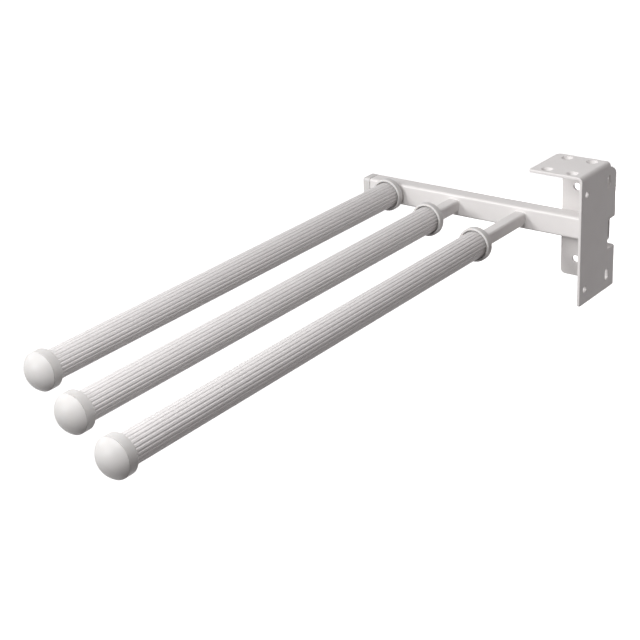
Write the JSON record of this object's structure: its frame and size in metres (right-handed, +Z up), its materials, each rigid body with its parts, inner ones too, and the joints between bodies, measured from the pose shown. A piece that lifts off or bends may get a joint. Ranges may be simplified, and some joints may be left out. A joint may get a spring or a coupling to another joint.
{
  "type": "towel holder",
  "caption": "Pull-out towel holder: fluted tube arms slide on square rails that stand out of a crossbar, held by a folded and drilled mounting bracket.",
  "frame": {"origin": "centre of the four holes in the bracket's top flange, on the flange's upper face", "axes": "+Z up, out of the top flange's upper face; +Y to the back, so the arms pull out along -Y; +X from the crossbar's free end towards the bracket's side plate"},
  "size_m": [0.2122, 0.475, 0.0975],
  "materials": {
    "white_coat": "satin white powder coat",
    "fluted_aluminium": "satin anodised extrusion",
    "white_plastic": "smooth moulded white, a little translucent",
    "nylon": "natural nylon",
    "pin_steel": "plain steel"
  },
  "bodies": {
    "frame": {"mounting_bracket": "white_coat", "crossbar": "white_coat", "crossbar_end_cap": "white_plastic", "bracket_weld": "white_coat", "rail_1": "white_coat", "rail_weld_1": "white_coat", "glide_1": "nylon", "glide_pin_1": "pin_steel", "rail_2": "white_coat", "rail_weld_2": "white_coat", "glide_2": "nylon", "glide_pin_2": "pin_steel", "rail_3": "white_coat", "rail_weld_3": "white_coat", "glide_3": "nylon", "glide_pin_3": "pin_steel"},
    "arm_1": {"tube_1": "fluted_aluminium", "collar_1": "white_plastic", "end_cap_1": "white_plastic"},
    "arm_2": {"tube_2": "fluted_aluminium", "collar_2": "white_plastic", "end_cap_2": "white_plastic"},
    "arm_3": {"tube_3": "fluted_aluminium", "collar_3": "white_plastic", "end_cap_3": "white_plastic"}
  },
  "joints": [
    {"name": "arm_1_pull", "type": "slide", "parent": "frame", "child": "arm_1", "axis": [0, -1, 0], "range_m": [0, 0.23]},
    {"name": "arm_2_pull", "type": "slide", "parent": "frame", "child": "arm_2", "axis": [0, -1, 0], "range_m": [-0.0325, 0.1975]},
    {"name": "arm_3_pull", "type": "slide", "parent": "frame", "child": "arm_3", "axis": [0, -1, 0], "range_m": [-0.06, 0.17]}
  ]
}
